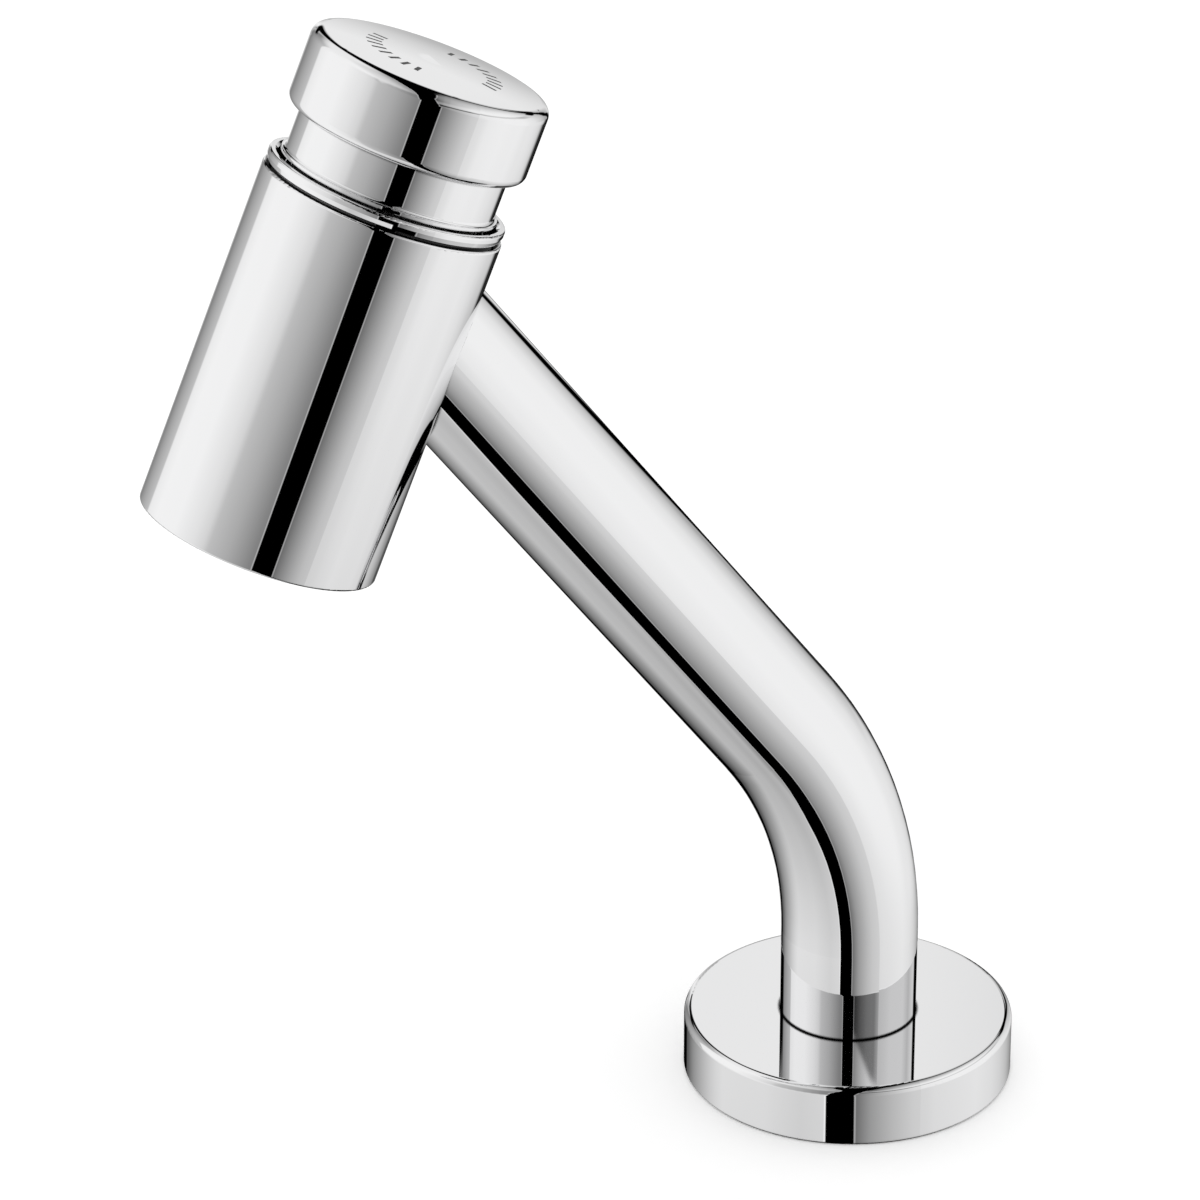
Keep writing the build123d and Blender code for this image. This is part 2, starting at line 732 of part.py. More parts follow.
with BuildPart() as aerator_housing:
    with BuildSketch(head_profile):
        ring_profile(housing_bore_radius, housing_radius, housing_foot, housing_top)
        ring_profile(housing_bore_radius - aerator_lip_width, housing_radius, housing_foot, lip_top)
    revolve(axis=head_axis)
finish(aerator_housing, "aerator_housing")

with BuildPart() as aerator_insert:
    with BuildSketch(head_plane.offset(lip_top)):
        Circle(insert_radius)
        Circle(insert_hole_diameter / 2, mode=Mode.SUBTRACT)
        for hole_ring in range(1, insert_hole_rings + 1):
            with PolarLocations(hole_ring * insert_hole_pitch, insert_holes_in_first_ring * hole_ring):
                Circle(insert_hole_diameter / 2, mode=Mode.SUBTRACT)
    extrude(amount=insert_thickness)
finish(aerator_insert, "aerator_insert")

with BuildPart() as flow_regulator:
    with BuildSketch(head_plane.offset(insert_top)):
        Circle(insert_radius)
        with PolarLocations(regulator_hole_circle / 2, regulator_hole_count):
            Circle(regulator_hole_diameter / 2, mode=Mode.SUBTRACT)
    extrude(amount=regulator_thickness)
finish(flow_regulator, "flow_regulator")
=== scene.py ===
import json
from math import cos, pi, radians, sin

import bpy
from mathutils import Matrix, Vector


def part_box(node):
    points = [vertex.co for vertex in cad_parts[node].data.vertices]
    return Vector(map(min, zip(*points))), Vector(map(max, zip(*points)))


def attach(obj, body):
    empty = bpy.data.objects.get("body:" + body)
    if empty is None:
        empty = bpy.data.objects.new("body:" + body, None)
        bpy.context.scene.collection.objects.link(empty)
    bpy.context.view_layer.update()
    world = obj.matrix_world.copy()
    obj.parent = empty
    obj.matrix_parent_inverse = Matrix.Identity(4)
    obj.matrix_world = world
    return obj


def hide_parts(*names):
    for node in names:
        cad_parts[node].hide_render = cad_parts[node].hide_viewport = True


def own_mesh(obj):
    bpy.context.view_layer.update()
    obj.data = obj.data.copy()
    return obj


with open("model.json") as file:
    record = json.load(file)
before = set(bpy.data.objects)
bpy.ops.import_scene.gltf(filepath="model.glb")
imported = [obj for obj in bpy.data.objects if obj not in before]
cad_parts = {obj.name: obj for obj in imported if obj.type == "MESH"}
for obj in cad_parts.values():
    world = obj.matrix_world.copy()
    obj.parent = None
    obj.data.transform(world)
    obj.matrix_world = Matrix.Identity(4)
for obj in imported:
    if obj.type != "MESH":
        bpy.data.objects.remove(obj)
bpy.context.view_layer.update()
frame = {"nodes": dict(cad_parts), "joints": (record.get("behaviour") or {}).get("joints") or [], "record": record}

# Looks of the push timed tap: mirror chrome above the deck, and the brass, steel, rubber and plastic
# pieces inside the head and below the deck. Metres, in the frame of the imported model.

nodes = frame["nodes"]
record = frame["record"]

# Camera, fitted to the photograph
CAMERA_AZIMUTH = radians(66.087)
CAMERA_ELEVATION = radians(26.188)
CAMERA_PLACE = Vector((0.90102, -0.45018, 0.59116))
CAMERA_LENS = 186.013
CAMERA_SENSOR = 36.0

# Colours
CHROME = (0.90, 0.90, 0.905, 1.0)
BRASS_BRIGHT = (0.80, 0.62, 0.32, 1.0)
BRASS_DULL = (0.66, 0.48, 0.23, 1.0)
# Near black of the gland, painted shade in the gap round the neck
GLAND_SHADE = (0.018, 0.016, 0.012, 1.0)
STEEL = (0.62, 0.62, 0.63, 1.0)
RUBBER = (0.028, 0.028, 0.028, 1.0)
ACETAL = (0.83, 0.83, 0.80, 1.0)
ACETAL_DEEP = (0.74, 0.74, 0.70, 1.0)
GREY_PLASTIC = (0.50, 0.52, 0.54, 1.0)
GREY_PLASTIC_DEEP = (0.42, 0.44, 0.46, 1.0)
ENAMEL = (0.012, 0.012, 0.012, 1.0)
# Near black of the painted shade in crevices of chrome and brass
PAINTED_CREVICE_SHADE = (0.012, 0.012, 0.012, 1.0)
FLOOR = (0.85, 0.85, 0.85, 1.0)
WHITE = (1.0, 1.0, 1.0, 1.0)

# Painted shade in crevices of the chrome and brass, which go dark where metal stands close: how far off the metal
# that darkens them may stand, and the step from dark to bright, as shares of open view
CREVICE_SAMPLES = 16
CHROME_SHADE_REACH = 0.0012
CHROME_SHADE_STEP = (0.58, 0.82)
BRASS_SHADE_REACH = 0.003
BRASS_SHADE_STEP = (0.3, 0.6)

# Floor
FLOOR_HALF_SIZE = 6.0
FLOOR_GLOW = 0.25

# Light tent round the tap, which only mirrors see. Its areas of light were chosen so that they
# fall on the chrome as in the photograph. Places across and away from the camera are in metres, turns in
# degrees to the camera's right, and heights in tent radii from its centre.
TENT_CENTRE = Vector((0.0, -0.05, 0.1))
TENT_RADIUS = 0.6
TENT_SEGMENTS = 128
TENT_RINGS = 64

# The slit for the camera: its edges as (height, across), and the brighter hems along them. The offset keeps
# the ramps that draw the edges above zero.
SLIT_SOFTNESS = 0.006
SLIT_LEFT = (
    (-1.0, 0.03), (-0.92, 0.012), (-0.905, -0.012), (-0.885, -0.04), (-0.86, -0.058), (-0.775, -0.066),
    (-0.67, -0.085), (-0.6, -0.098), (0.0, -0.092), (0.17, -0.086), (0.3, -0.072), (0.42, -0.058),
    (0.6, -0.02), (0.74, 0.0), (0.87, 0.01), (1.0, -0.01))
SLIT_RIGHT = (
    (-1.0, 0.13), (-0.85, 0.11), (-0.8, 0.09), (-0.6, 0.07), (-0.3, 0.07), (0.04, 0.088),
    (0.26, 0.1), (0.4, 0.118), (0.6, 0.135), (0.75, 0.15), (0.87, 0.185), (1.0, 0.21))
EDGE_OFFSET = 0.5
HEM_WIDTH = 0.010
HEM_GLOW = 0.22

# Light of the walls round the tent, as (turn, level): the upper wall, the lower wall, the share of light left
# in the panel that the riser's foot mirrors by way of the flange, and the area low on the right
UPPER_WALL = (
    (-180, 1.0), (-168, 1.0), (-160, 0.6), (-154, 0.22), (-145, 0.3), (-121, 0.56), (-119, 0.9),
    (-105, 0.98), (-80, 0.97), (-60, 0.83), (-51, 0.72), (-46, 0.56), (-30, 0.44), (-12, 0.25),
    (8, 0.15), (25, 0.46), (42, 0.74), (55, 0.9), (75, 0.96), (105, 0.95), (125, 0.84),
    (142, 0.61), (152, 0.4), (160, 0.5), (168, 0.8), (180, 1.0))
LOWER_WALL = (
    (-180, 0.8), (-173, 0.8), (-168, 0.13), (-156, 0.14), (-150, 0.25), (-143, 0.38),
    (-131, 0.56), (-124, 0.68), (-117, 0.8), (-109, 0.92), (-101, 1.0), (-60, 0.98),
    (-45, 0.92), (-30, 0.86), (-12, 0.9), (10, 0.2), (20, 0.42), (35, 0.63), (50, 0.8),
    (65, 0.93), (100, 1.0), (117, 0.93), (129, 0.82), (141, 0.65), (153, 0.4), (159, 0.3),
    (165, 0.08), (176, 0.02), (180, 0.8))
PANEL_SHARE = (
    (-180, 1.0), (-3, 1.0), (0, 0.1), (13, 0.12), (24, 0.23), (34, 0.28), (45, 0.26), (49, 0.5),
    (66, 0.66), (77, 0.71), (104, 0.73), (119, 0.6), (126, 0.75), (135, 1.0), (180, 1.0))
LOW_RIGHT = (
    (-180, 0.88), (118, 0.88), (128, 0.85), (139, 0.78), (147, 0.66), (152, 0.3), (156, 0.02),
    (180, 0.02))

# Light of the walls from foot to ceiling, as (height, level): the share of the lower wall, and the back wall
LOWER_SHARE = (
    (-1.0, 0.5), (-0.95, 0.54), (-0.85, 0.63), (-0.75, 0.72), (-0.65, 0.78), (-0.55, 0.87),
    (-0.4, 0.93), (1.0, 0.93))
BACK_WALL = (
    (-1.0, 0.44), (0.03, 0.44), (0.08, 0.55), (0.13, 0.68), (0.18, 0.78), (0.24, 0.88), (1.0, 0.9))

# Light of the ceiling, as (across, level): left of the slit near the camera and far from it, and right of it
CEILING_NEAR_LEFT = (
    (-0.6, 0.97), (-0.4, 0.97), (-0.35, 0.95), (-0.3, 0.85), (-0.25, 0.77), (-0.2, 0.72),
    (-0.15, 0.66), (-0.1, 0.55), (-0.05, 0.42), (0.0, 0.3))
CEILING_FAR_LEFT = ((-0.6, 0.95), (-0.12, 0.88), (-0.05, 0.6), (0.0, 0.3))
CEILING_RIGHT = (
    (0.15, 0.08), (0.175, 0.1), (0.225, 0.27), (0.275, 0.42), (0.325, 0.57), (0.375, 0.67),
    (0.425, 0.78), (0.475, 0.86), (0.525, 0.9), (0.6, 0.95))

# Where one area of light gives way to the next, as (start, end) of a soft step
BACK_WALL_STEP = (166.0, 174.0)
PANEL_FOOT_STEP = (0.22, 0.28)
PANEL_TOP_STEP = (0.39, 0.383)
LOWER_WALL_STEP = (-0.55, -0.3)
LOW_RIGHT_STEP = (112.0, 122.0)
CEILING_STEP = (0.5, 0.75)
CEILING_FAR_STEP = (-0.05, 0.15)

# Bands of the tent, as (low, high, softness) of a turn or a height
LOW_RIGHT_HEIGHTS = (-0.48, -0.2, 0.08)
ROUND_JOINT_RIGHT_TURNS = (139.0, 164.5, 5.0)
ROUND_JOINT_LEFT_TURNS = (-177.0, -149.0, 6.0)
ROUND_JOINT_HEIGHTS = (0.3, 0.41, 0.03)
CORNER_TURNS = (-177.0, -163.0, 5.0)
CORNER_HEIGHTS = (0.26, 0.6, 0.06)

# The slanted joint behind on the right: degrees of turn, and degrees of turn for one tent radius of height
SLANT_TURN = 154.5
SLANT_LEAN = 50.0
SLANT_TOP = 0.04
SLANT_BAND = (-4.5, 4.5, 3.0)
SLANT_FOOT_STEP = (-0.5, -0.4)

# The dark slot in the ceiling: its left edge, right edge and far edge
SLOT_LEFT = -0.01
SLOT_LEFT_LEAN = -0.33
SLOT_LEFT_STEP = (-0.02, 0.02)
SLOT_RIGHT_STEP = (0.235, 0.185)
SLOT_FAR_LEAN = 0.4
SLOT_FAR_STEP = (0.51, 0.46)

# The dark round in the tent's foot
WELL_ACROSS = 0.10
WELL_AWAY = 0.02
WELL_STEP = (0.20, 0.22)

# Threads and spring
EDGE_ANGLE = 30
LATHE_SEGMENTS = 96
ROWS_PER_TURN = 12
THREAD_FOOT = -0.048
THREAD_PITCH = 0.001814
THREAD_DEPTH = 0.001162
NIPPLE_RADIUS = 0.008331
NIPPLE_PITCH = 0.001337
NIPPLE_THREAD_DEPTH = 0.000856
NIPPLE_NECK = 0.0008
SHANK_BORE_RADIUS = 0.006
SHANK_CHAMFER = 0.001
SHANK_LAND = 0.0003
SHANK_GROOVE_RISE = 0.0014
SHANK_GROOVE_HEIGHT = 0.0019
SHANK_GROOVE_RADIUS = 0.0097
SPRING_COIL_DIAMETER = 0.0152
SPRING_WIRE = 0.0013
SPRING_OPEN_TURNS = 3.5
SPRING_END_TURNS = 0.9
SPRING_STATIONS = 40
SPRING_SIDES = 14
SPRING_GRIND = 0.00035


def new_material(name):
    """A material with an empty node tree and its output node."""
    material = bpy.data.materials.new(name)
    material.use_nodes = True
    tree = material.node_tree
    tree.nodes.clear()
    output = tree.nodes.new("ShaderNodeOutputMaterial")
    return material, tree, output


def feed(tree, socket, value):
    """Links a socket to another node's output, or sets it to a plain value."""
    if isinstance(value, bpy.types.NodeSocket):
        tree.links.new(value, socket)
    else:
        socket.default_value = value


def calculate(tree, operation, *values):
    """A Math node, and its output."""
    node = tree.nodes.new("ShaderNodeMath")
    node.operation = operation
    for socket, value in zip(node.inputs, values):
        feed(tree, socket, value)
    return node.outputs[0]


def ramp(tree, factor, stops):
    """A colour ramp of grey levels, from (place, level) pairs with places from 0 to 1."""
    node = tree.nodes.new("ShaderNodeValToRGB")
    node.color_ramp.interpolation = "LINEAR"
    elements = node.color_ramp.elements
    for place, level in stops[1:-1]:
        elements.new(place)
    for element, (place, level) in zip(elements, stops):
        element.position = place
        element.color = (level, level, level, 1.0)
    feed(tree, node.inputs[0], factor)
    return node.outputs[0]


def between(tree, value, low, high):
    """0 below low, 1 above high and a smooth step from one to the other."""
    node = tree.nodes.new("ShaderNodeMapRange")
    node.interpolation_type = "SMOOTHSTEP"
    feed(tree, node.inputs["Value"], value)
    node.inputs["From Min"].default_value = low
    node.inputs["From Max"].default_value = high
    return node.outputs["Result"]


def mix_grey(tree, factor, first, second):
    """Mixes two grey levels."""
    node = tree.nodes.new("ShaderNodeMix")
    node.data_type = "FLOAT"
    feed(tree, node.inputs["Factor"], factor)
    feed(tree, node.inputs["A"], first)
    feed(tree, node.inputs["B"], second)
    return node.outputs["Result"]


def noise(tree, scale, detail, stretch=(1, 1, 1)):
    """Noise over the object's own coordinates, in metres."""
    place = tree.nodes.new("ShaderNodeTexCoord")
    mapping = tree.nodes.new("ShaderNodeMapping")
    mapping.inputs["Scale"].default_value = stretch
    texture = tree.nodes.new("ShaderNodeTexNoise")
    texture.inputs["Scale"].default_value = scale
    texture.inputs["Detail"].default_value = detail
    tree.links.new(place.outputs["Object"], mapping.inputs["Vector"])
    tree.links.new(mapping.outputs["Vector"], texture.inputs["Vector"])
    return texture.outputs["Fac"]


def bump(tree, height, strength, distance):
    """A bump of that height in metres."""
    node = tree.nodes.new("ShaderNodeBump")
    node.inputs["Strength"].default_value = strength
    node.inputs["Distance"].default_value = distance
    feed(tree, node.inputs["Height"], height)
    return node.outputs["Normal"]


def ranged(tree, value, low, high):
    """Spreads a value from 0 to 1 over low to high."""
    node = tree.nodes.new("ShaderNodeMapRange")
    feed(tree, node.inputs["Value"], value)
    node.inputs["To Min"].default_value = low
    node.inputs["To Max"].default_value = high
    return node.outputs["Result"]


def surface(tree, output, **inputs):
    """A Principled shader, with its inputs given by name."""
    shader = tree.nodes.new("ShaderNodeBsdfPrincipled")
    for name, value in inputs.items():
        feed(tree, shader.inputs[name.replace("_", " ")], value)
    tree.links.new(shader.outputs[0], output.inputs["Surface"])


def with_painted_crevice_shade(tree, colour, reach, step):
    """A colour with painted shade: it goes nearly black where other metal stands close on all sides."""
    # Painted shade: the ambient occlusion of nearby geometry darkens the colour
    nearby = tree.nodes.new("ShaderNodeAmbientOcclusion")
    nearby.samples = CREVICE_SAMPLES
    nearby.inputs["Distance"].default_value = reach
    mixed = tree.nodes.new("ShaderNodeMix")
    mixed.data_type = "RGBA"
    feed(tree, mixed.inputs["Factor"], between(tree, nearby.outputs["AO"], *step))
    mixed.inputs["A"].default_value = PAINTED_CREVICE_SHADE
    feed(tree, mixed.inputs["B"], colour)
    return mixed.outputs["Result"]


def chrome():
    """Mirror-polished chrome plate, with the faintest trace of polishing and painted shade in its crevices."""
    material, tree, output = new_material("chrome_plate")
    polish = noise(tree, 900.0, 3.0)
    # Painted shade: the plate's colour goes near black in crevices and gaps
    plate = with_painted_crevice_shade(tree, CHROME, CHROME_SHADE_REACH, CHROME_SHADE_STEP)
    surface(tree, output, Base_Color=plate, Metallic=1.0, Roughness=ranged(tree, polish, 0.012, 0.03))
    return material


def brass():
    """Machined brass, with fine turning marks, a slightly dulled colour and painted shade in its hollows."""
    material, tree, output = new_material("machined_brass")
    turning = noise(tree, 3500.0, 4.0, (0.06, 0.06, 1.0))
    tarnish = noise(tree, 140.0, 5.0)
    colour = tree.nodes.new("ShaderNodeMix")
    colour.data_type = "RGBA"
    feed(tree, colour.inputs["Factor"], tarnish)
    colour.inputs["A"].default_value = BRASS_BRIGHT
    colour.inputs["B"].default_value = BRASS_DULL
    # Painted shade: the brass goes near black in thread roots and gaps
    metal = with_painted_crevice_shade(tree, colour.outputs["Result"], BRASS_SHADE_REACH, BRASS_SHADE_STEP)
    surface(tree, output, Base_Color=metal, Metallic=1.0,
            Roughness=ranged(tree, turning, 0.16, 0.34),
            Normal=bump(tree, turning, 0.25, 0.00002))
    return material


def painted_shade_gland():
    """Brass inside the head's mouth, painted near black as painted shade in the gap round the neck."""
    material, tree, output = new_material("painted_shade_gland")
    film = noise(tree, 300.0, 4.0)
    surface(tree, output, Base_Color=GLAND_SHADE, Metallic=0.4, Specular_IOR_Level=0.2,
            Roughness=ranged(tree, film, 0.35, 0.6),
            Normal=bump(tree, film, 0.3, 0.00004))
    return material


def steel():
    """Bright stainless steel, with short brushed marks."""
    material, tree, output = new_material("stainless_steel")
    brushing = noise(tree, 2600.0, 4.0, (1.0, 0.08, 0.08))
    surface(tree, output, Base_Color=STEEL, Metallic=1.0,
            Roughness=ranged(tree, brushing, 0.18, 0.36),
            Normal=bump(tree, brushing, 0.2, 0.00002))
    return material


def rubber():
    """Matt black nitrile rubber with a moulded grain."""
    material, tree, output = new_material("nitrile_rubber")
    grain = noise(tree, 2200.0, 6.0)
    surface(tree, output, Base_Color=RUBBER,
            Roughness=ranged(tree, grain, 0.5, 0.75),
            Normal=bump(tree, grain, 0.5, 0.00006))
    return material


def plastic(name, colour, deep):
    """Moulded plastic with a faint flow pattern and a fine eggshell surface."""
    material, tree, output = new_material(name)
    flow = noise(tree, 180.0, 3.0, (1.0, 1.0, 0.4))
    skin = noise(tree, 3000.0, 2.0)
    shade = tree.nodes.new("ShaderNodeMix")
    shade.data_type = "RGBA"
    feed(tree, shade.inputs["Factor"], flow)
    shade.inputs["A"].default_value = colour
    shade.inputs["B"].default_value = deep
    surface(tree, output, Base_Color=shade.outputs["Result"],
            Roughness=ranged(tree, skin, 0.3, 0.45),
            Normal=bump(tree, skin, 0.15, 0.00003))
    return material


def enamel():
    """Glossy black infill of the engraved marks, slightly sunk where it dried."""
    material, tree, output = new_material("black_enamel")
    pool = noise(tree, 1200.0, 2.0)
    surface(tree, output, Base_Color=ENAMEL,
            Specular_IOR_Level=0.15, Roughness=ranged(tree, pool, 0.3, 0.45),
            Normal=bump(tree, pool, 0.3, 0.00004))
    return material


def floor_material():
    """Plain white floor, which keeps the tap's soft shadow and is clear from below."""
    material, tree, output = new_material("white_floor")
    path = tree.nodes.new("ShaderNodeLightPath")
    geometry = tree.nodes.new("ShaderNodeNewGeometry")
    diffuse = tree.nodes.new("ShaderNodeBsdfDiffuse")
    diffuse.inputs["Color"].default_value = FLOOR
    glow = tree.nodes.new("ShaderNodeEmission")
    to_camera = calculate(tree, "MULTIPLY", path.outputs["Is Camera Ray"], FLOOR_GLOW)
    tree.links.new(to_camera, glow.inputs["Strength"])
    lit = tree.nodes.new("ShaderNodeAddShader")
    tree.links.new(diffuse.outputs[0], lit.inputs[0])
    tree.links.new(glow.outputs[0], lit.inputs[1])
    clear = tree.nodes.new("ShaderNodeBsdfTransparent")
    sided = tree.nodes.new("ShaderNodeMixShader")
    tree.links.new(geometry.outputs["Backfacing"], sided.inputs["Fac"])
    tree.links.new(lit.outputs[0], sided.inputs[1])
    tree.links.new(clear.outputs[0], sided.inputs[2])
    tree.links.new(sided.outputs[0], output.inputs["Surface"])
    return material


def product(tree, *values):
    """The product of several values."""
    result = values[0]
    for value in values[1:]:
        result = calculate(tree, "MULTIPLY", result, value)
    return result


def inside(tree, value, low, high, softness):
    """1 from low to high and 0 outside, with soft ends."""
    half = softness / 2
    return product(tree, between(tree, value, low - half, low + half),
                   between(tree, value, high + half, high - half))


def turn_ramp(tree, turn_share, stops):
    """A level once round the tent, from (turn, level) pairs."""
    return ramp(tree, turn_share, [(turn / 360 + 0.5, level) for turn, level in stops])


def height_ramp(tree, height_share, stops):
    """A level from the tent's nadir to its zenith, from (height, level) pairs."""
    return ramp(tree, height_share, [((height + 1) / 2, level) for height, level in stops])


def across_ramp(tree, across_share, stops):
    """A level from the tent's left to its right, from (across, level) pairs."""
    return ramp(tree, across_share, [(across / (2 * TENT_RADIUS) + 0.5, level) for across, level in stops])


def edge_line(tree, height_share, stops):
    """A place across the tent in metres, which changes with the height."""
    shifted = [(height, across + EDGE_OFFSET) for height, across in stops]
    return calculate(tree, "SUBTRACT", height_ramp(tree, height_share, shifted), EDGE_OFFSET)


def wall_glow(tree, turn, turn_share, height, height_share):
    """Light of the cloth walls: level by turn at the camera's height, and dimmer below."""
    upper = turn_ramp(tree, turn_share, UPPER_WALL)
    lower = product(tree, turn_ramp(tree, turn_share, LOWER_WALL),
                    height_ramp(tree, height_share, LOWER_SHARE))
    behind = between(tree, calculate(tree, "ABSOLUTE", turn), *BACK_WALL_STEP)
    upper = mix_grey(tree, behind, upper, height_ramp(tree, height_share, BACK_WALL))
    panel = product(tree, between(tree, height, *PANEL_FOOT_STEP), between(tree, height, *PANEL_TOP_STEP))
    upper = mix_grey(tree, panel, upper, product(tree, upper, turn_ramp(tree, turn_share, PANEL_SHARE)))
    walls = mix_grey(tree, between(tree, height, *LOWER_WALL_STEP), lower, upper)
    low_right = product(tree, inside(tree, height, *LOW_RIGHT_HEIGHTS), between(tree, turn, *LOW_RIGHT_STEP))
    return mix_grey(tree, low_right, walls, turn_ramp(tree, turn_share, LOW_RIGHT))


def ceiling_glow(tree, across, away):
    """Light of the cloth ceiling, dim near the slit, and brighter to the left behind."""
    across_share = calculate(tree, "MULTIPLY_ADD", across, 0.5 / TENT_RADIUS, 0.5)
    near, far = (across_ramp(tree, across_share, left + CEILING_RIGHT)
                 for left in (CEILING_NEAR_LEFT, CEILING_FAR_LEFT))
    return mix_grey(tree, between(tree, away, *CEILING_FAR_STEP), near, far)


def slanted_joint(tree, turn, height):
    """The dark joint behind on the right, which leans below its top."""
    rise = calculate(tree, "MINIMUM", height, SLANT_TOP)
    offset = calculate(tree, "ADD", turn, calculate(tree, "MULTIPLY_ADD", rise, SLANT_LEAN, -SLANT_TURN))
    return product(tree, inside(tree, offset, *SLANT_BAND), between(tree, height, *SLANT_FOOT_STEP))


def round_joint(tree, turn, height):
    """The dark joint behind, between the walls and the ceiling."""
    turns = calculate(tree, "ADD", inside(tree, turn, *ROUND_JOINT_RIGHT_TURNS),
                      inside(tree, turn, *ROUND_JOINT_LEFT_TURNS))
    return product(tree, turns, inside(tree, height, *ROUND_JOINT_HEIGHTS))


def corner_joint(tree, turn, height):
    """The dark corner behind on the left."""
    return product(tree, inside(tree, turn, *CORNER_TURNS), inside(tree, height, *CORNER_HEIGHTS))


def ceiling_slot(tree, across, away):
    """The dark slot in the ceiling, which widens away from the camera."""
    left_edge = calculate(tree, "MULTIPLY_ADD", away, SLOT_LEFT_LEAN, SLOT_LEFT)
    past_left = calculate(tree, "SUBTRACT", across, left_edge)
    depth = calculate(tree, "MULTIPLY_ADD", across, SLOT_FAR_LEAN, away)
    behind = calculate(tree, "GREATER_THAN", away, 0.0)
    return product(tree, behind, between(tree, past_left, *SLOT_LEFT_STEP),
                   between(tree, across, *SLOT_RIGHT_STEP), between(tree, depth, *SLOT_FAR_STEP))


def outside_joints(tree, turn, height, across, away):
    """The share of light that the dark joints leave."""
    dark = slanted_joint(tree, turn, height)
    for joint in (round_joint(tree, turn, height), corner_joint(tree, turn, height),
                  ceiling_slot(tree, across, away)):
        dark = calculate(tree, "MAXIMUM", dark, joint)
    return calculate(tree, "SUBTRACT", 1.0, dark)


def outside_well(tree, across, away, height):
    """The share of light that the dark round in the tent's foot leaves."""
    from_across = calculate(tree, "SUBTRACT", across, WELL_ACROSS)
    from_away = calculate(tree, "SUBTRACT", away, WELL_AWAY)
    squares = calculate(tree, "ADD", product(tree, from_across, from_across),
                        product(tree, from_away, from_away))
    past_rim = between(tree, calculate(tree, "SQRT", squares), *WELL_STEP)
    return calculate(tree, "MAXIMUM", past_rim, calculate(tree, "GREATER_THAN", height, 0.0))


def slit_and_hems(tree, across, away, height_share):
    """The camera's slit and the hems along its edges, each 1 inside and 0 outside."""
    past_left = calculate(tree, "SUBTRACT", across, edge_line(tree, height_share, SLIT_LEFT))
    short_of_right = calculate(tree, "SUBTRACT", edge_line(tree, height_share, SLIT_RIGHT), across)
    in_front = calculate(tree, "LESS_THAN", away, 0.0)
    half = SLIT_SOFTNESS / 2
    slit = product(tree, in_front, between(tree, past_left, -half, half),
                   between(tree, short_of_right, -half, half))
    both_hems = calculate(tree, "ADD", inside(tree, past_left, -HEM_WIDTH, 0.0, SLIT_SOFTNESS),
                          inside(tree, short_of_right, -HEM_WIDTH, 0.0, SLIT_SOFTNESS))
    return slit, product(tree, in_front, both_hems)


def tent_material():
    """White cloth walls lit unevenly, with a dark slit in front for the camera and dark joints behind."""
    material, tree, output = new_material("tent_walls")
    place = tree.nodes.new("ShaderNodeTexCoord")
    axes = tree.nodes.new("ShaderNodeSeparateXYZ")
    tree.links.new(place.outputs["Object"], axes.inputs[0])
    across, away, rise = axes.outputs
    angle = calculate(tree, "ARCTAN2", across, calculate(tree, "MULTIPLY", away, -1.0))
    turn = calculate(tree, "DEGREES", angle)
    turn_share = calculate(tree, "ADD", calculate(tree, "DIVIDE", turn, 360.0), 0.5)
    height = calculate(tree, "DIVIDE", rise, TENT_RADIUS)
    height_share = calculate(tree, "MULTIPLY_ADD", height, 0.5, 0.5)
    walls = wall_glow(tree, turn, turn_share, height, height_share)
    walls = mix_grey(tree, between(tree, height, *CEILING_STEP), walls, ceiling_glow(tree, across, away))
    walls = product(tree, walls, outside_joints(tree, turn, height, across, away))
    slit, hems = slit_and_hems(tree, across, away, height_share)
    walls = calculate(tree, "MULTIPLY_ADD", hems, HEM_GLOW, walls)
    walls = product(tree, walls, outside_well(tree, across, away, height))
    glow = tree.nodes.new("ShaderNodeEmission")
    tree.links.new(mix_grey(tree, slit, walls, 0.0), glow.inputs["Strength"])
    tree.links.new(glow.outputs[0], output.inputs["Surface"])
    return material


def hide_from(piece, *rays):
    """Keeps a stage piece out of the sight of some kinds of ray."""
    for ray in rays:
        setattr(piece, "visible_" + ray, False)


def make_stage():
    """Floor, light tent and plain white surround."""
    bpy.ops.mesh.primitive_plane_add(size=2 * FLOOR_HALF_SIZE, location=(0, 0, 0))
    floor = bpy.context.object
    floor.name = "floor"
    floor.data.materials.append(floor_material())
    hide_from(floor, "glossy", "transmission")
    bpy.ops.mesh.primitive_uv_sphere_add(segments=TENT_SEGMENTS, ring_count=TENT_RINGS, radius=TENT_RADIUS,
                                         location=TENT_CENTRE, rotation=(0, 0, CAMERA_AZIMUTH))
    tent = bpy.context.object
    tent.name = "light_tent"
    tent.data.materials.append(tent_material())
    hide_from(tent, "camera", "diffuse", "shadow", "volume_scatter")
    world = bpy.data.worlds.new("white_room")
    bpy.context.scene.world = world
    world.use_nodes = True
    world.node_tree.nodes["Background"].inputs["Color"].default_value = WHITE
    world.cycles_visibility.glossy = False


def make_camera():
    """The camera, at the photograph's place and angle."""
    camera = bpy.data.objects.new("camera", bpy.data.cameras.new("camera"))
    bpy.context.scene.collection.objects.link(camera)
    back = Vector((sin(CAMERA_AZIMUTH) * cos(CAMERA_ELEVATION),
                   -cos(CAMERA_AZIMUTH) * cos(CAMERA_ELEVATION), sin(CAMERA_ELEVATION)))
    camera.location = CAMERA_PLACE
    camera.rotation_mode = "QUATERNION"
    camera.rotation_quaternion = (-back).to_track_quat("-Z", "Y")
    camera.data.lens = CAMERA_LENS
    camera.data.sensor_width = CAMERA_SENSOR
    bpy.context.scene.camera = camera


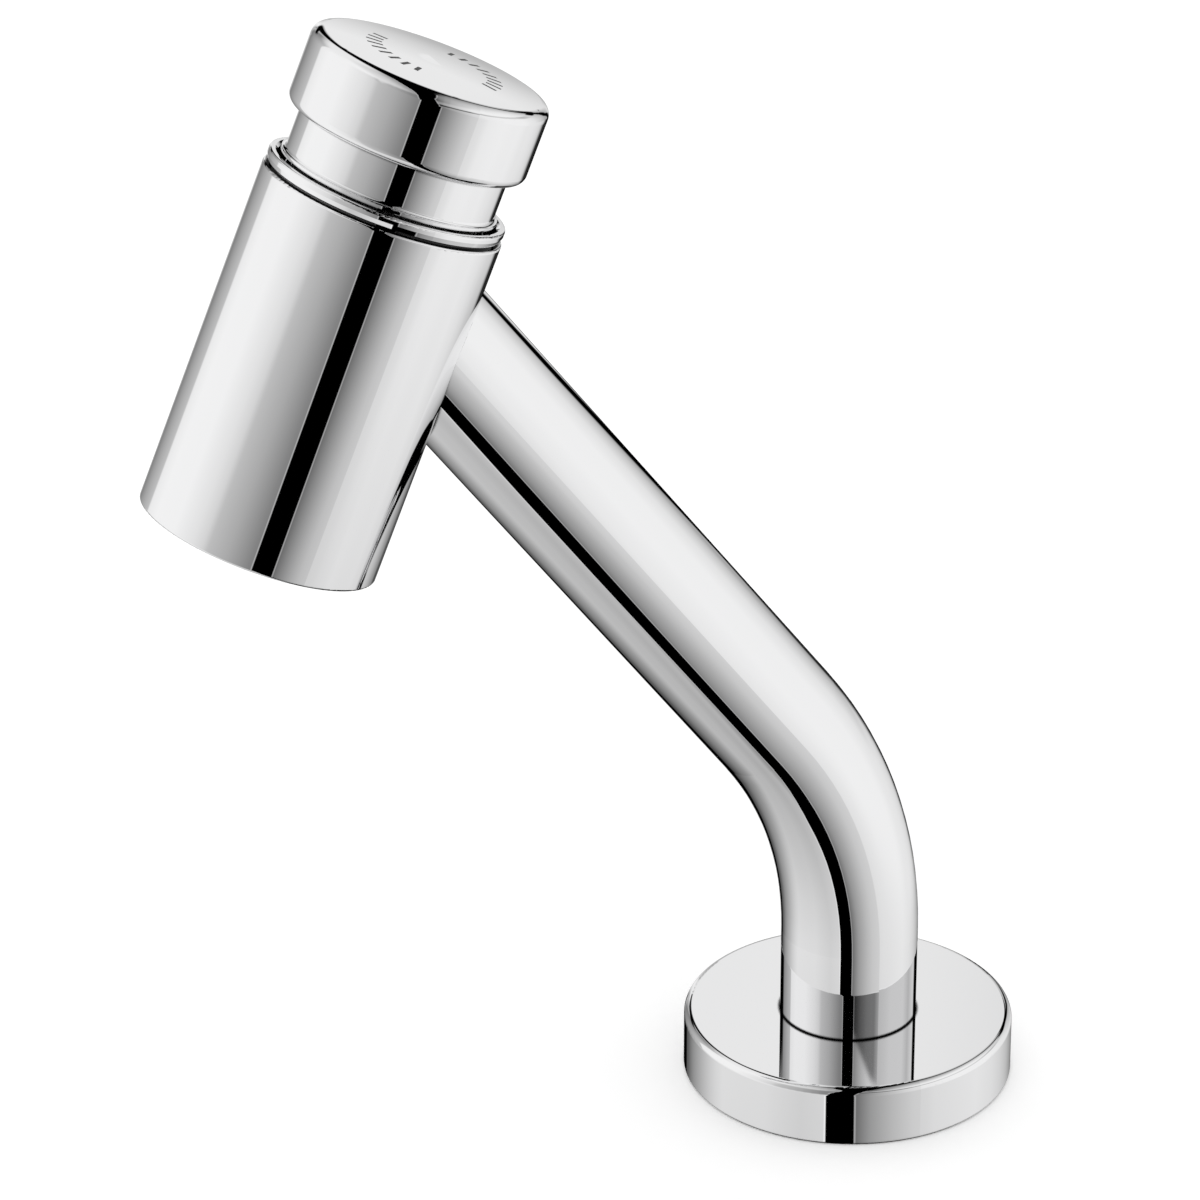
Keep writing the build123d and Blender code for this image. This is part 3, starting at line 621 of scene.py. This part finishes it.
def dress_nodes():
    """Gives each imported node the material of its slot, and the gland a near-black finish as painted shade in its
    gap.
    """
    finishes = {
        "chrome": chrome(),
        "brass": brass(),
        "steel": steel(),
        "rubber": rubber(),
        "acetal": plastic("white_acetal", ACETAL, ACETAL_DEEP),
        "grey_plastic": plastic("grey_plastic", GREY_PLASTIC, GREY_PLASTIC_DEEP),
        "black_enamel": enamel(),
    }
    gland_shade = painted_shade_gland()
    for subpart in record["subparts"]:
        name = subpart["node"]
        for slot in nodes[name].material_slots:
            # The gland gets the near-black painted shade instead of its slot's finish
            slot.material = gland_shade if name == "gland" else finishes[subpart["material_slot"]]
    return finishes


def thread_form(phase):
    """The depth of a rounded screw thread, from 0 on the crest to 1 in the root, for a phase in turns."""
    flank_share = abs(2 * (phase % 1.0) - 1)
    return flank_share * flank_share * (3 - 2 * flank_share)


def plain_row(radius, height):
    """A row of a turned piece at one radius."""
    return radius, height, 0.0, 1.0


def thread_rows(radius, low, high, pitch, depth):
    """Rows of a screw thread, which runs out to full radius at both ends."""
    count = round((high - low) / pitch * ROWS_PER_TURN)
    rows = []
    for k in range(count + 1):
        height = low + (high - low) * k / count
        fade = min(1.0, (height - low) / pitch, (high - height) / pitch)
        rows.append((radius, height, depth * fade, pitch))
    return rows


def lathe(name, rows):
    """A closed turned piece on the Z axis, from rows that go once round its half section."""
    segments = LATHE_SEGMENTS
    mesh = bpy.data.meshes.new(name)
    points = []
    for radius, height, depth, pitch in rows:
        for i in range(segments):
            turn = i / segments
            r = radius - depth * thread_form(height / pitch - turn)
            points.append((r * cos(2 * pi * turn), r * sin(2 * pi * turn), height))
    faces = []
    for k in range(len(rows)):
        here, there = k * segments, (k + 1) % len(rows) * segments
        for i in range(segments):
            j = (i + 1) % segments
            faces.append((here + i, here + j, there + j, there + i))
    mesh.from_pydata(points, [], faces)
    return finish_mesh(name, mesh)


def finish_mesh(name, mesh):
    """Shades a mesh smooth except at its real edges, and puts it in the scene."""
    mesh.validate()
    mesh.shade_smooth()
    mesh.set_sharp_from_angle(angle=radians(EDGE_ANGLE))
    piece = bpy.data.objects.new(name, mesh)
    bpy.context.scene.collection.objects.link(piece)
    return piece


def make_shank(material):
    """Threaded shank: G 1/2 for the lock nut over a G 3/8 nipple for the hose, with real threads."""
    low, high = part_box("threaded_shank")
    radius, foot, top = high.x, low.z, high.z
    groove_top = top - SHANK_GROOVE_RISE
    groove_foot = groove_top - SHANK_GROOVE_HEIGHT
    rows = [plain_row(SHANK_BORE_RADIUS, foot), plain_row(NIPPLE_RADIUS - SHANK_CHAMFER, foot)]
    rows += thread_rows(NIPPLE_RADIUS, foot + SHANK_CHAMFER, THREAD_FOOT - NIPPLE_NECK,
                        NIPPLE_PITCH, NIPPLE_THREAD_DEPTH)
    rows += [plain_row(NIPPLE_RADIUS - NIPPLE_THREAD_DEPTH, THREAD_FOOT - NIPPLE_NECK),
             plain_row(NIPPLE_RADIUS - NIPPLE_THREAD_DEPTH, THREAD_FOOT),
             plain_row(radius - SHANK_CHAMFER, THREAD_FOOT)]
    rows += thread_rows(radius, THREAD_FOOT + SHANK_CHAMFER, groove_foot - SHANK_LAND,
                        THREAD_PITCH, THREAD_DEPTH)
    rows += [plain_row(radius, groove_foot), plain_row(SHANK_GROOVE_RADIUS, groove_foot),
             plain_row(SHANK_GROOVE_RADIUS, groove_top), plain_row(radius, groove_top),
             plain_row(radius, top), plain_row(SHANK_BORE_RADIUS, top)]
    shank = lathe("shank_with_threads", rows)
    shank.data.materials.append(material)
    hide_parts("threaded_shank")
    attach(shank, "tap_body")


def head_axis():
    """The outlet's centre and the direction of the head's axis, upwards."""
    outlet = next(m for m in record["mounts"] if m["name"] == "outlet")
    push = next(j for j in frame["joints"] if j["name"] == "push")
    return Vector(outlet["pos_m"]), -Vector(push["axis"]).normalized()


def make_spring(material):
    """Return spring: close-wound, ground ends and open turns between them."""
    base, up = head_axis()
    heights = [(v.co - base).dot(up) for v in nodes["return_spring"].data.vertices]
    foot, top = min(heights), max(heights)
    side = Vector((1, 0, 0))
    across = up.cross(side)
    wire_radius = SPRING_WIRE / 2
    coil_radius = SPRING_COIL_DIAMETER / 2
    open_rise = top - foot - SPRING_WIRE - 2 * SPRING_END_TURNS * SPRING_WIRE
    turns = SPRING_OPEN_TURNS + 2 * SPRING_END_TURNS
    stations = round(turns * SPRING_STATIONS)
    points, faces = [], []
    for k in range(stations + 1):
        turn = turns * k / stations
        wound = min(turn, SPRING_END_TURNS) + max(0.0, turn - SPRING_END_TURNS - SPRING_OPEN_TURNS)
        opened = min(max(turn - SPRING_END_TURNS, 0.0), SPRING_OPEN_TURNS)
        rise = foot + wire_radius + wound * SPRING_WIRE + opened / SPRING_OPEN_TURNS * open_rise
        out = side * cos(2 * pi * turn) + across * sin(2 * pi * turn)
        for i in range(SPRING_SIDES):
            around = 2 * pi * i / SPRING_SIDES
            height = rise + wire_radius * sin(around)
            height = min(max(height, foot + SPRING_GRIND), top - SPRING_GRIND)
            points.append(base + up * height + out * (coil_radius + wire_radius * cos(around)))
        if k < stations:
            here, there = k * SPRING_SIDES, (k + 1) * SPRING_SIDES
            for i in range(SPRING_SIDES):
                j = (i + 1) % SPRING_SIDES
                faces.append((here + i, here + j, there + j, there + i))
    faces.append(tuple(range(SPRING_SIDES)))
    faces.append(tuple(reversed(range(stations * SPRING_SIDES, (stations + 1) * SPRING_SIDES))))
    mesh = bpy.data.meshes.new("coil_spring")
    mesh.from_pydata(points, [], faces)
    spring = finish_mesh("coil_spring", mesh)
    spring.data.materials.append(material)
    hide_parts("return_spring")
    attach(spring, "tap_body")
    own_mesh(spring)


finishes = dress_nodes()
make_shank(finishes["brass"])
make_spring(finishes["steel"])
make_stage()
make_camera()
bpy.context.scene.view_settings.view_transform = "Standard"
